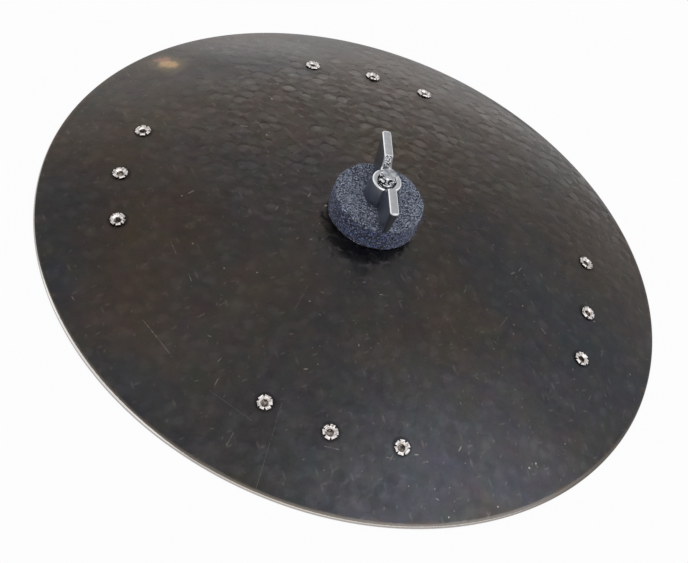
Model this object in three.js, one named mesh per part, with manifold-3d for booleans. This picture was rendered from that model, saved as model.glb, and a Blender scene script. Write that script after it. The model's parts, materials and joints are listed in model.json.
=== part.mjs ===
// Effects cymbal: a domed bronze disc with loose flared rivets, held on a short
// threaded post between two felts by a wing nut. Millimetres, +Z up, rim on z = 0.
import * as THREE from 'three';
import { mergeVertices } from 'three/addons/utils/BufferGeometryUtils.js';
import Module from 'manifold-3d';

const wasm = await Module();
wasm.setup();

// Disc
const discRadius = 152.4;
const sheetThickness = 1.8;
const domeRise = 30;
const centreHoleRadius = 6;
const rimFlatHalfAngle = 20;
const rimArcAngles = [35, 0, -40];
const discSegments = 72;
const domeRings = 9;
const holeSegments = 16;

// Rivets: four groups of three, drilled by eye: each has its own angle, and stands out from or in from
// a ring at a share of the disc's radius
const rivetRingShare = 0.757;
const rivetSpots = [
  { angle: 108.8, out: -1 },
  { angle: 93, out: -3 },
  { angle: 78.9, out: -2 },
  { angle: 12.6, out: -1 },
  { angle: -3.8, out: -2 },
  { angle: -18.1, out: 1.5 },
  { angle: -75.2, out: 3.5 },
  { angle: -90.9, out: 2 },
  { angle: -106.1, out: 0.5 },
  { angle: -164.8, out: 1 },
  { angle: -179.2, out: 1 },
  { angle: 165.4, out: -0.5 },
];
const rivetBarrelRadius = 2.4;
const rivetBoreRadius = 1.5;
const rivetBoreDepth = 1.2;
const rivetHoleClearance = 0.3;
const rivetLift = 0.9;
const rivetFlangeRadius = 3.8;
const rivetFlangeThickness = 0.6;
const rivetFlareRadius = 3.7;
const rivetFlareRise = 0.5;
const rivetFlareWall = 0.55;
const petalCount = 6;
const petalNotch = 1;
const segmentsPerPetal = 4;

// Felts
const topFeltRadius = 21.3;
const topFeltThickness = 12;
const lowerFeltRadius = 19;
const lowerFeltThickness = 8;
const feltEdgeRadius = 1.2;
const feltSegments = 36;
const feltSeatRings = 3;

// Post, sleeve and washer
const shankRadius = 4;
const shankAboveNut = 4.2;
const shankChamfer = 0.7;
const shankRoot = 1.5;
const footAcrossFlats = 17;
const footHeight = 14;
const footSides = 6;
const socketRadius = 4;
const socketDepth = 11;
const sleeveWall = 1.2;
const sleeveInFelt = 6;
const washerRadius = 19;
const washerThickness = 2.5;
const washerEdge = 0.6;
const roundSegments = 32;

// Wing nut
const nutBaseRadius = 8;
const nutTopRadius = 6.9;
const nutHeight = 11.3;
const nutEdge = 0.6;
const wingThickness = 4.2;
const wingAngle = 99.6;
const wingFootReach = 24.6;
const wingTipReach = 26.6;
const wingInnerReach = 10.9;
const wingTopAboveNut = 5.7;
const wingFootLift = 1.2;
const wingFootRound = 3;
const wingTipRound = 1.2;
const wingEdge = 0.5;

// Clearances
const seatGap = 0.3;
const runningGap = 0.3;

const radians = THREE.MathUtils.degToRad;

// The sheet's middle surface is part of a sphere that reaches from the rim's edge circle to the crown
const halfSheet = sheetThickness / 2;
const rimRadius = discRadius - halfSheet;
const rimHeight = halfSheet * Math.cos(radians(rimFlatHalfAngle));
const sphereRadius = (rimRadius ** 2 + domeRise ** 2) / (2 * domeRise);
const sphereHeight = rimHeight + domeRise - sphereRadius;

function sheetHeight(radius, offset) {
  return sphereHeight + Math.sqrt((sphereRadius + offset) ** 2 - radius ** 2);
}

// Heights of what is stacked on the axis, from the crown up and from the crown down
const crownTop = sheetHeight(centreHoleRadius, halfSheet);
const crownUnder = sheetHeight(centreHoleRadius, -halfSheet);
const topFeltTop = crownTop + seatGap + topFeltThickness;
const nutBottom = topFeltTop + seatGap;
const nutTop = nutBottom + nutHeight;
const lowerFeltBottom = crownUnder - seatGap - lowerFeltThickness;
const washerTop = lowerFeltBottom - seatGap;
const washerBottom = washerTop - washerThickness;
const footTop = washerBottom - seatGap;
const footBottom = footTop - footHeight;
const sleeveBore = shankRadius + runningGap;
const sleeveRadius = sleeveBore + sleeveWall;
const sleeveClearRadius = sleeveRadius + runningGap;
const nutBore = shankRadius + runningGap;

const finishes = {
  patina: { color: 0x3a332f, roughness: 0.45, metalness: 0.8 },
  nickel: { color: 0xc9c7be, roughness: 0.3, metalness: 1 },
  chrome: { color: 0xd4d6d8, roughness: 0.12, metalness: 1 },
  felt: { color: 0x4a5562, roughness: 0.95, metalness: 0 },
  steel: { color: 0xb0b3b5, roughness: 0.3, metalness: 1 },
  nylon: { color: 0x1c1c1e, roughness: 0.5, metalness: 0 },
};

function finish(name) {
  return new THREE.MeshStandardMaterial(finishes[name]);
}

function mesh(name, geometry, finishName) {
  const piece = new THREE.Mesh(geometry, finish(finishName));
  piece.name = name;
  return piece;
}

function merged(geometry) {
  const bare = geometry.clone();
  bare.deleteAttribute('normal');
  bare.deleteAttribute('uv');
  return mergeVertices(bare, 1e-4);
}

function solid(geometry) {
  const bare = merged(geometry);
  return new wasm.Manifold(new wasm.Mesh({
    numProp: 3,
    vertProperties: new Float32Array(bare.attributes.position.array),
    triVerts: new Uint32Array(bare.index.array),
  }));
}

function geometryOf(body) {
  const { vertProperties, triVerts } = body.getMesh();
  const geometry = new THREE.BufferGeometry();
  geometry.setAttribute('position', new THREE.BufferAttribute(vertProperties, 3));
  geometry.setIndex(new THREE.BufferAttribute(triVerts, 1));
  geometry.computeVertexNormals();
  return geometry;
}

// A closed (radius, height) outline, listed anticlockwise, turned round the Z axis
function turned(outline, segments) {
  const points = [...outline, outline[0]].map(([radius, height]) => new THREE.Vector2(radius, height));
  return merged(new THREE.LatheGeometry(points, segments)).rotateX(Math.PI / 2);
}

function cylinder(radius, bottom, top, segments, topRadius = radius) {
  const geometry = new THREE.CylinderGeometry(topRadius, radius, top - bottom, segments);
  return geometry.rotateX(Math.PI / 2).translate(0, 0, (bottom + top) / 2);
}

function spread(count, from, to) {
  return Array.from({ length: count }, (_, k) => from + (to - from) * k / (count - 1));
}

// Middle of the sheet at a rivet, turned so that the local +Z leaves the dome squarely
function rivetPlaces() {
  return rivetSpots.map(({ angle, out }) => {
    const turn = radians(angle);
    const radius = rivetRingShare * discRadius + out;
    const tilt = Math.asin(radius / sphereRadius);
    const matrix = new THREE.Matrix4().makeRotationZ(turn);
    matrix.multiply(new THREE.Matrix4().makeRotationY(tilt));
    matrix.setPosition(radius * Math.cos(turn), radius * Math.sin(turn), sheetHeight(radius, 0));
    return matrix;
  });
}

// One sheet, evenly thick, with a round rim whose lowest chord is a narrow level flat
function discGeometry(places) {
  const surface = (offset) => {
    const edgeAngle = Math.asin(rimRadius / sphereRadius);
    const holeAngle = Math.asin(centreHoleRadius / (sphereRadius + offset));
    const reach = sphereRadius + offset;
    return spread(domeRings, holeAngle, edgeAngle)
      .map((angle) => [reach * Math.sin(angle), sphereHeight + reach * Math.cos(angle)]);
  };
  const flatAngles = [-90 + rimFlatHalfAngle, -90 - rimFlatHalfAngle];
  const rim = [...rimArcAngles, ...flatAngles]
    .map(radians)
    .map((angle) => [rimRadius + halfSheet * Math.cos(angle), rimHeight + halfSheet * Math.sin(angle)]);
  const outline = [...surface(-halfSheet), ...rim.reverse(), ...surface(halfSheet).reverse()];
  let sheet = solid(turned(outline, discSegments));
  const holeRadius = rivetBarrelRadius + rivetHoleClearance;
  const cutter = cylinder(holeRadius, -sheetThickness * 2, sheetThickness * 2, holeSegments);
  for (const place of places) {
    sheet = sheet.subtract(solid(cutter.clone().applyMatrix4(place)));
  }
  return geometryOf(sheet);
}

// A stem with a plain flange under the sheet, drilled from above, whose mouth opens into petals
function rivetGeometry() {
  const flangeTop = -halfSheet - seatGap - rivetLift;
  const flangeBottom = flangeTop - rivetFlangeThickness;
  const throat = halfSheet + rivetHoleClearance / 2;
  const tip = throat + rivetFlareRise;
  const outline = [
    [rivetBoreRadius, flangeBottom],
    [rivetFlangeRadius, flangeBottom],
    [rivetFlangeRadius, flangeTop],
    [rivetBarrelRadius, flangeTop],
    [rivetBarrelRadius, throat],
    [rivetFlareRadius, tip],
    [rivetFlareRadius - rivetFlareWall / 2, tip + rivetFlareWall],
    [rivetBoreRadius, throat],
  ];
  const segments = petalCount * segmentsPerPetal;
  const geometry = turned(outline, segments);
  const position = geometry.attributes.position;
  const mouth = (rivetBarrelRadius + rivetFlareRadius) / 2;
  for (let k = 0; k < position.count; k += 1) {
    const x = position.getX(k);
    const y = position.getY(k);
    const radius = Math.hypot(x, y);
    const onPetal = radius > mouth && position.getZ(k) > throat;
    const petal = Math.atan2(y, x) / (2 * Math.PI) * petalCount;
    const inNotch = Math.abs(petal - Math.round(petal)) < 0.5 / segmentsPerPetal;
    if (onPetal && inNotch) {
      position.setX(k, x * (radius - petalNotch) / radius);
      position.setY(k, y * (radius - petalNotch) / radius);
    }
  }
  const coreRadius = (rivetBoreRadius + rivetBarrelRadius) / 2;
  const core = cylinder(coreRadius, flangeBottom, throat - rivetBoreDepth, segments);
  return geometryOf(solid(geometry).add(solid(core)));
}

function topFeltGeometry() {
  const inner = sleeveClearRadius;
  const seat = spread(feltSeatRings, inner, topFeltRadius)
    .map((r) => [r, sheetHeight(r, halfSheet) + seatGap]);
  return turned([
    ...seat,
    [topFeltRadius, topFeltTop - feltEdgeRadius],
    [topFeltRadius - feltEdgeRadius, topFeltTop],
    [inner, topFeltTop],
  ], feltSegments);
}

function lowerFeltGeometry() {
  const inner = sleeveClearRadius;
  const seat = spread(feltSeatRings, lowerFeltRadius, inner)
    .map((r) => [r, sheetHeight(r, -halfSheet) - seatGap]);
  return turned([
    [inner, lowerFeltBottom],
    [lowerFeltRadius - feltEdgeRadius, lowerFeltBottom],
    [lowerFeltRadius, lowerFeltBottom + feltEdgeRadius],
    ...seat,
  ], feltSegments);
}

function washerGeometry() {
  return turned([
    [sleeveClearRadius, washerBottom],
    [washerRadius - washerEdge, washerBottom],
    [washerRadius, washerBottom + washerEdge],
    [washerRadius, washerTop - washerEdge],
    [washerRadius - washerEdge, washerTop],
    [sleeveClearRadius, washerTop],
  ], feltSegments);
}

function sleeveGeometry() {
  const bottom = footTop + seatGap;
  const top = crownTop + sleeveInFelt;
  return turned([
    [sleeveBore, bottom],
    [sleeveRadius, bottom],
    [sleeveRadius, top],
    [sleeveBore, top],
  ], roundSegments);
}

// Hexagonal foot with a blind socket, and the shank, whose chamfered end stands out of the nut
function postGeometry() {
  const corner = footAcrossFlats / 2 / Math.cos(Math.PI / footSides);
  const foot = solid(cylinder(corner, footBottom, footTop, footSides));
  const shankTop = nutTop + shankAboveNut;
  const shoulder = shankTop - shankChamfer;
  const shank = solid(cylinder(shankRadius, footTop - shankRoot, shoulder, roundSegments));
  const endRadius = shankRadius - shankChamfer;
  const end = solid(cylinder(shankRadius, shoulder, shankTop, roundSegments, endRadius));
  const below = footBottom - socketDepth;
  const socket = solid(cylinder(socketRadius, below, footBottom + socketDepth, roundSegments));
  return geometryOf(foot.add(shank).add(end).subtract(socket));
}

// Tapered boss with two plate wings whose tops stand above it
function wingNutGeometry() {
  const boss = solid(turned([
    [nutBore, nutBottom],
    [nutBaseRadius - nutEdge, nutBottom],
    [nutBaseRadius, nutBottom + nutEdge],
    [nutBaseRadius, nutBottom + 2 * nutEdge],
    [nutTopRadius, nutTop - nutEdge],
    [nutTopRadius - nutEdge, nutTop],
    [nutBore + nutEdge, nutTop],
    [nutBore, nutTop - nutEdge],
  ], roundSegments));
  const root = (nutBore + nutTopRadius) / 2;
  const low = nutBottom + wingFootLift;
  const high = nutTop + wingTopAboveNut;
  const foot = new THREE.Vector2(wingFootReach, low);
  const tip = new THREE.Vector2(wingTipReach, high);
  const side = tip.clone().sub(foot).normalize();
  const outline = new THREE.Shape();
  outline.moveTo(root, low);
  outline.lineTo(wingFootReach - wingFootRound, low);
  outline.quadraticCurveTo(foot.x, foot.y, foot.x + side.x * wingFootRound, foot.y + side.y * wingFootRound);
  outline.lineTo(tip.x - side.x * wingTipRound, tip.y - side.y * wingTipRound);
  outline.quadraticCurveTo(tip.x, tip.y, tip.x - wingTipRound, high);
  outline.lineTo(wingInnerReach, high);
  outline.lineTo(nutTopRadius - nutEdge, nutTop - nutEdge);
  outline.lineTo(root, nutTop - nutEdge);
  const plate = new THREE.ExtrudeGeometry(outline, {
    depth: wingThickness - 2 * wingEdge,
    bevelEnabled: true,
    bevelThickness: wingEdge,
    bevelSize: wingEdge,
    bevelOffset: -wingEdge,
    bevelSegments: 1,
    curveSegments: 4,
  });
  plate.translate(0, 0, wingEdge - wingThickness / 2).rotateX(Math.PI / 2);
  const bore = solid(cylinder(nutBore, nutBottom - nutHeight, nutTop + nutHeight, roundSegments));
  let nut = boss;
  for (const turn of [wingAngle, wingAngle + 180]) {
    nut = nut.add(solid(plate.clone().rotateZ(radians(turn))));
  }
  return geometryOf(nut.subtract(bore));
}

const cymbal = new THREE.Group();
const places = rivetPlaces();
cymbal.add(mesh('cymbal_disc', discGeometry(places), 'patina'));
const rivet = rivetGeometry();
places.forEach((place, k) => {
  const piece = mesh(`rivet_${String(k + 1).padStart(2, '0')}`, rivet, 'nickel');
  place.decompose(piece.position, piece.quaternion, piece.scale);
  cymbal.add(piece);
});
cymbal.add(mesh('top_felt', topFeltGeometry(), 'felt'));
cymbal.add(mesh('lower_felt', lowerFeltGeometry(), 'felt'));
cymbal.add(mesh('support_washer', washerGeometry(), 'steel'));
cymbal.add(mesh('post_sleeve', sleeveGeometry(), 'nylon'));
cymbal.add(mesh('centre_post', postGeometry(), 'steel'));
cymbal.add(mesh('wing_nut', wingNutGeometry(), 'chrome'));

export default cymbal;
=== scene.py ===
import json
from math import asin, cos, degrees, pi, radians, sin, sqrt

import bmesh
import bpy
import numpy as np
from mathutils import Matrix, Vector


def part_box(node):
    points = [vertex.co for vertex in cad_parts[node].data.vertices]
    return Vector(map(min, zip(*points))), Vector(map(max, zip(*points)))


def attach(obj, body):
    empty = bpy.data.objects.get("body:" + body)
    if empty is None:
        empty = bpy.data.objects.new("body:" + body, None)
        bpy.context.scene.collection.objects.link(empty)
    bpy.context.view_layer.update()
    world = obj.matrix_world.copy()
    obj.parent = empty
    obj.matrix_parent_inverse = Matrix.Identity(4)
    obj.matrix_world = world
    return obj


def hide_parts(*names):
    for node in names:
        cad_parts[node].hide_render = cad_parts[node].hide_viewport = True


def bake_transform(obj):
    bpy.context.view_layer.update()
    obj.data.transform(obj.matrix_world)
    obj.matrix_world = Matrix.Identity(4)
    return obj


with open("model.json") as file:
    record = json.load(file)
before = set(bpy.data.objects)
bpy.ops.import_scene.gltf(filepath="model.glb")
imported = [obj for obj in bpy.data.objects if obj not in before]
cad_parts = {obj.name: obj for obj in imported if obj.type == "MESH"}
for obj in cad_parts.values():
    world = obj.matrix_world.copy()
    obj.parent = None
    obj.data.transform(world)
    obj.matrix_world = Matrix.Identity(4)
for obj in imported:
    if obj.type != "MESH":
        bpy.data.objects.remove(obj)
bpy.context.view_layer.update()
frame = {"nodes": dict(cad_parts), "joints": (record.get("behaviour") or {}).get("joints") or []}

mm = 0.001
turn = 2 * pi
poleWeld = 0.001 * mm        # joins the points of a grid that meet on its axis
print("frame loaded:", len(frame["nodes"]), "solids")


def lengths(**sizes):
    # settings that are lengths, written in millimetres
    return {name: size * mm for name, size in sizes.items()}


# Mesh helpers

def gridFaces(rows, columns, closeRows=True):
    # quads of a grid whose columns close on themselves, and whose rows may
    index = np.arange(rows * columns).reshape(rows, columns)
    right = np.roll(index, -1, axis=1)
    quads = np.stack([index, right, np.roll(right, -1, axis=0), np.roll(index, -1, axis=0)], axis=-1)
    if not closeRows:
        quads = quads[:-1]
    return quads.reshape(-1, 4)


def outward(points, faces):
    # the signed volume of the quads says which way they face
    a, b, c, d = (points[faces[:, k]] for k in range(4))
    volume = np.einsum("ij,ij->", a, np.cross(b, c)) + np.einsum("ij,ij->", a, np.cross(c, d))
    return faces if volume > 0 else faces[:, ::-1]


def newPiece(name, points, faces, caps=()):
    # a smooth mesh at the origin, its place in its points
    mesh = bpy.data.meshes.new(name)
    mesh.from_pydata(points.tolist(), [], faces.tolist() + [list(cap) for cap in caps])
    mesh.validate()
    mesh.shade_smooth()
    piece = bpy.data.objects.new(name, mesh)
    bpy.context.scene.collection.objects.link(piece)
    return piece


def wrappedPiece(name, grid):
    # a grid of points that closes both ways, as a ring does
    rows, columns = grid.shape[:2]
    points = grid.reshape(-1, 3)
    return newPiece(name, points, outward(points, gridFaces(rows, columns)))


def tidied(piece, weld=0.0):
    # joins points closer than the weld, then turns every face outwards
    shell = bmesh.new()
    shell.from_mesh(piece.data)
    if weld:
        bmesh.ops.remove_doubles(shell, verts=shell.verts, dist=weld)
    bmesh.ops.recalc_face_normals(shell, faces=shell.faces)
    shell.to_mesh(piece.data)
    shell.free()
    return piece


def combine(piece, other, operation):
    # joins or cuts one closed piece with another, which is then dropped
    boolean = piece.modifiers.new("combine", "BOOLEAN")
    boolean.operation = operation
    boolean.solver = "MANIFOLD"
    boolean.object = other
    graph = bpy.context.evaluated_depsgraph_get()
    mesh = bpy.data.meshes.new_from_object(piece.evaluated_get(graph))
    mesh.shade_smooth()
    piece.modifiers.clear()
    piece.data = mesh
    bpy.data.objects.remove(other)


def sharpen(piece, angle):
    # smooth faces, with a hard edge wherever two faces meet at more than this angle
    piece.data.set_sharp_from_angle(angle=radians(angle))


def arc(middle, radius, start, end, steps):
    # points of a circle's arc, in degrees
    angle = np.radians(np.linspace(start, end, steps))
    return np.stack([middle[0] + radius * np.cos(angle), middle[1] + radius * np.sin(angle)], axis=-1)


def resampled(outline, step, closed=True):
    # the same outline with a point about every step
    path = np.vstack([outline, outline[:1]]) if closed else outline
    length = np.r_[0, np.cumsum(np.hypot(*np.diff(path, axis=0).T))]
    places = np.linspace(0, length[-1], max(8, int(length[-1] / step)), endpoint=not closed)
    return np.stack([np.interp(places, length, path[:, k]) for k in (0, 1)], axis=-1)


def evenAngles(count):
    # angles all the way round a circle
    return np.linspace(0, turn, count, endpoint=False)


def turned(section, columns):
    # a closed (radius, height) section carried round the Z axis
    angle = evenAngles(columns)
    radius, height = section[:, :1], section[:, 1:]
    return np.stack([radius * np.cos(angle), radius * np.sin(angle), height + 0 * angle], axis=-1)


def spokes(axis, angle):
    # unit steps square to an axis, turned round it by each angle
    side = np.cross(axis, [0, 0, 1])
    side /= np.linalg.norm(side)
    other = np.cross(axis, side)
    return np.cos(angle)[:, None] * side + np.sin(angle)[:, None] * other


def smoothStep(value, low, high):
    # from 0 at low to 1 at high: three times the share squared, less twice its cube
    share = np.clip((value - low) / (high - low), 0, 1)
    return share * share * (3 - 2 * share)


def waves(points, size, count, seed):
    # a sum of sine waves in random directions, from -1 to 1, about size long
    rng = np.random.default_rng(seed)
    direction = rng.normal(size=(count, 3))
    direction /= np.linalg.norm(direction, axis=1, keepdims=True)
    rate = turn / size * rng.uniform(0.6, 1.6, count)
    phase = rng.uniform(0, turn, count)
    return np.sin(points @ (direction * rate[:, None]).T + phase).sum(-1) / sqrt(count)


# Node helpers

def feed(slot, value):
    # links a wire to a socket, or sets a plain value on it
    if isinstance(value, Wire):
        value.tree.links.new(value.socket, slot)
    else:
        slot.default_value = value


def mathMethod(operation):
    # a method that joins two wires, or a wire and a number, by one Math node
    return lambda self, other: self.calc(operation, self, other)


class Wire:
    # a node's output: sums on it add Math nodes
    def __init__(self, tree, socket):
        self.tree = tree
        self.socket = socket

    def calc(self, operation, first, second):
        node = self.tree.nodes.new("ShaderNodeMath")
        node.operation = operation
        feed(node.inputs[0], first)
        feed(node.inputs[1], second)
        return Wire(self.tree, node.outputs[0])

    def output(self, name):
        # another output of the same node
        return Wire(self.tree, self.socket.node.outputs[name])

    def __rsub__(self, other):
        return self.calc("SUBTRACT", other, self)

    __add__ = __radd__ = mathMethod("ADD")
    __mul__ = __rmul__ = mathMethod("MULTIPLY")
    __sub__ = mathMethod("SUBTRACT")
    __truediv__ = mathMethod("DIVIDE")
    __pow__ = mathMethod("POWER")
    larger = mathMethod("MAXIMUM")
    smaller = mathMethod("MINIMUM")


class Nodes:
    # the nodes of a material or a world
    def __init__(self, owner):
        owner.use_nodes = True
        self.owner = owner
        self.tree = owner.node_tree
        self.tree.nodes.clear()

    def add(self, kind, settings=None, inputs=None, output=0):
        # one node: its settings first, then a value or a wire for each named socket
        node = self.tree.nodes.new(kind)
        for key, value in (settings or {}).items():
            setattr(node, key, value)
        for key, value in (inputs or {}).items():
            feed(node.inputs[key], value)
        if len(node.outputs):
            return Wire(self.tree, node.outputs[output])

    def place(self):
        return self.add("ShaderNodeTexCoord", output="Object")

    def axes(self, vector):
        split = self.add("ShaderNodeSeparateXYZ", inputs={"Vector": vector})
        return [split, split.output("Y"), split.output("Z")]

    def vector(self, operation, first, second, output="Vector"):
        return self.add("ShaderNodeVectorMath", {"operation": operation}, {0: first, 1: second}, output)

    def scaled(self, vector, share):
        return self.add("ShaderNodeVectorMath", {"operation": "SCALE"}, {0: vector, "Scale": share})

    def noise(self, vector, scale, detail=4.0, roughness=0.5, distortion=0.0):
        inputs = {"Vector": vector, "Scale": scale, "Detail": detail}
        inputs |= {"Roughness": roughness, "Distortion": distortion}
        return self.add("ShaderNodeTexNoise", inputs=inputs)

    def cells(self, vector, size):
        # distance to the nearest of many scattered spots on the XY plane, one in each square of this size
        inputs = {"Vector": vector, "Scale": 1 / size}
        return self.add("ShaderNodeTexVoronoi", {"voronoi_dimensions": "2D"}, inputs)

    def stretched(self, vector, scale, angle):
        # the same place turned about Z, so that a pattern there is drawn out along the turned axes
        inputs = {"Vector": vector, "Scale": scale, "Rotation": (0, 0, radians(angle))}
        return self.add("ShaderNodeMapping", {"vector_type": "TEXTURE"}, inputs)

    def ramp(self, value, low, high):
        inputs = {"Value": value, "From Min": low, "From Max": high}
        return self.add("ShaderNodeMapRange", {"interpolation_type": "SMOOTHSTEP"}, inputs)

    def blend(self, share, first, second):
        # ShaderNodeMix keeps its colour sockets at 6 and 7, and the colour result at 2
        return self.add("ShaderNodeMix", {"data_type": "RGBA"}, {0: share, 6: first, 7: second}, 2)

    def bump(self, height, strength, distance, below=None):
        inputs = {"Height": height, "Strength": strength, "Distance": distance}
        if below is not None:
            inputs["Normal"] = below
        return self.add("ShaderNodeBump", inputs=inputs)

    def surface(self, inputs):
        # closes the tree with its shader, and gives the material
        shader = self.add("ShaderNodeBsdfPrincipled", inputs=inputs)
        self.add("ShaderNodeOutputMaterial", inputs={"Surface": shader})
        return self.owner


def newFinish(name):
    # a new material's nodes, and short names for the three used most
    nodes = Nodes(bpy.data.materials.new(name))
    return nodes, nodes.ramp, nodes.blend, nodes.noise


def rgb(red, green, blue):
    # a colour given as it looks on a screen, from 0 to 255, made linear
    share = np.array([red, green, blue]) / 255
    linear = np.where(share <= 0.04045, share / 12.92, ((share + 0.055) / 1.055) ** 2.4)
    return (*linear.tolist(), 1.0)


def dress(piece, material, body, node):
    # gives the piece its finish, hides the solid that it stands for and, when a body is given, attaches the
    # piece to it
    piece.data.materials.clear()
    piece.data.materials.append(material)
    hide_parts(node)
    if body:
        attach(piece, body)


# Camera

cameraView = {
    "azimuth": -11.44,
    "elevation": 45.90,
    "roll": 23.87,
    "distance": 950.4 * mm,
    "aside": (-4.33 * mm, -11.36 * mm),
    "rimHeight": 0.85 * mm,
    "focalPixels": 2000,
    "imageWidth": 688,
    "sensorWidth": 36,
    "clipStart": 10 * mm,
}


def makeCamera(view):
    # stands back from the rim's middle along an azimuth and an elevation, rolled, its aim moved aside
    azimuth, elevation, roll = (radians(view[k]) for k in ("azimuth", "elevation", "roll"))
    back = Vector((sin(azimuth) * cos(elevation), -cos(azimuth) * cos(elevation),
                   sin(elevation)))
    level = Vector((cos(azimuth), sin(azimuth), 0))
    upright = back.cross(level)
    right = level * cos(roll) + upright * sin(roll)
    up = upright * cos(roll) - level * sin(roll)
    aim = right * view["aside"][0] + up * view["aside"][1] + Vector((0, 0, view["rimHeight"]))
    lens = bpy.data.cameras.new("camera")
    lens.sensor_width = view["sensorWidth"]
    lens.lens = lens.sensor_width * view["focalPixels"] / view["imageWidth"]
    lens.clip_start = view["clipStart"]
    camera = bpy.data.objects.new("camera", lens)
    turnMatrix = Matrix((right, up, back)).transposed()
    camera.matrix_world = Matrix.Translation(aim + back * view["distance"]) @ turnMatrix.to_4x4()
    bpy.context.scene.collection.objects.link(camera)
    bpy.context.scene.camera = camera


makeCamera(cameraView)
print("camera placed")


# Disc: an even sheet on a sphere, its section carried round the axis, marked by the hammer

disc = lengths(
    sheet=1.8, rise=30, hole=6, coveredReach=20, rivetHole=2.7, fadeStart=4, fadeEnd=0.8,
) | {
    "rimFlat": 20,
    "columns": 640,
    "coveredRings": 5,
    "topRings": 118,
    "underRings": 14,
    "rimSteps": 8,
    "rivetHoleSides": 32,
    "swell": {"size": 46 * mm, "depth": 0.10 * mm, "count": 9, "seed": 9},
    "underShare": 0.6,
}
hammer = {
    "pitch": 7.0 * mm,
    "wander": 0.95,
    "smallest": 0.40,
    "largest": 0.60,
    "depth": 0.10 * mm,
    "lean": 0.055,
    "bias": (0.008, -0.03),
    "flat": 0.95,
    "ragged": (4.5 * mm, 0.55 * mm, 16),
    "cells": 64,
    "seed": 4,
    # the marks are plainest round these places, in millimetres: whole out to one distance, faint from another
    "faintest": 0.14,
    "plain": ((-18, 32, 34, 98, 0.9), (100, 82, 30, 85, 0.38), (25, 122, 25, 65, 0.3),
              (30, -135, 20, 60, 0.14)),
}
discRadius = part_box("cymbal_disc")[1].x
halfSheet = disc["sheet"] / 2
rimRadius = discRadius - halfSheet
rimHeight = halfSheet * cos(radians(disc["rimFlat"]))
sphereRadius = (rimRadius ** 2 + disc["rise"] ** 2) / (2 * disc["rise"])
sphereMiddle = np.array([0, 0, rimHeight + disc["rise"] - sphereRadius])
rivetNames = sorted(name for name in frame["nodes"] if name.startswith("rivet_"))
rivetAxis = {joint["child"]: np.array(Vector(joint["axis"]).normalized()) for joint in frame["joints"]
             if joint["child"] in rivetNames}


def sheetHeight(radius, offset):
    # height of the dome's sphere, moved out by offset, at a distance from the axis
    return sphereMiddle[2] + np.sqrt((sphereRadius + offset) ** 2 - radius ** 2)


def seatOn(axis):
    # where an axis from the sphere's middle crosses the middle of the sheet
    return sphereMiddle + axis * sphereRadius


def hammerMarks(x, y):
    # the highest of many low pillows, one in each cell of a jittered square lattice: each is a flat spot
    # that leans a little, most of them up on one side as the hammer came from the other, with a soft edge
    # where one minus the squared share of its reach nears zero; random waves pull the outlines out of round
    pitch, cells = hammer["pitch"], hammer["cells"]
    size, shift, count = hammer["ragged"]
    ground = np.stack([x, y, np.zeros_like(x)], axis=-1)
    seed = hammer["seed"]
    x, y = (side + shift * waves(ground, size, count, seed + step) for step, side in ((1, x), (2, y)))
    table = np.random.default_rng(seed).random((cells, cells, 7))
    column = np.floor(x / pitch).astype(int)
    row = np.floor(y / pitch).astype(int)
    height = np.zeros_like(x)
    facetReflection = np.zeros_like(x)
    for stepX in (-1, 0, 1):
        for stepY in (-1, 0, 1):
            pick = np.moveaxis(table[(column + stepX) % cells, (row + stepY) % cells], -1, 0)
            awayX = x - (column + stepX + 0.5 + (pick[0] - 0.5) * hammer["wander"]) * pitch
            awayY = y - (row + stepY + 0.5 + (pick[1] - 0.5) * hammer["wander"]) * pitch
            reach = pitch * (hammer["smallest"] + (hammer["largest"] - hammer["smallest"]) * pick[2])
            inside = smoothStep(1 - (awayX ** 2 + awayY ** 2) / reach ** 2, 0, hammer["flat"])
            lean = hammer["lean"] * ((pick[4] * 2 - 1) * awayX + (pick[5] * 2 - 1) * awayY)
            lean = lean + hammer["bias"][0] * awayX + hammer["bias"][1] * awayY
            pillow = inside * (lean + hammer["depth"] * (0.2 + 0.8 * pick[3] ** 2))
            higher = pillow > height
            height = np.where(higher, pillow, height)
            # painted reflection: each mark takes its own random brightness, as if its facet mirrored a
            # brighter or darker part of the room
            facetReflection = np.where(higher, inside * pick[6], facetReflection)
    return height, facetReflection


def hammerStrength(away, step):
    # how plainly the marks show: faint everywhere, and more by a smooth step near each plain place
    strength = hammer["faintest"]
    for spotX, spotY, whole, faint, share in hammer["plain"]:
        strength = step(away(spotX, spotY), faint * mm, whole * mm) * share + strength
    return strength


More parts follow.
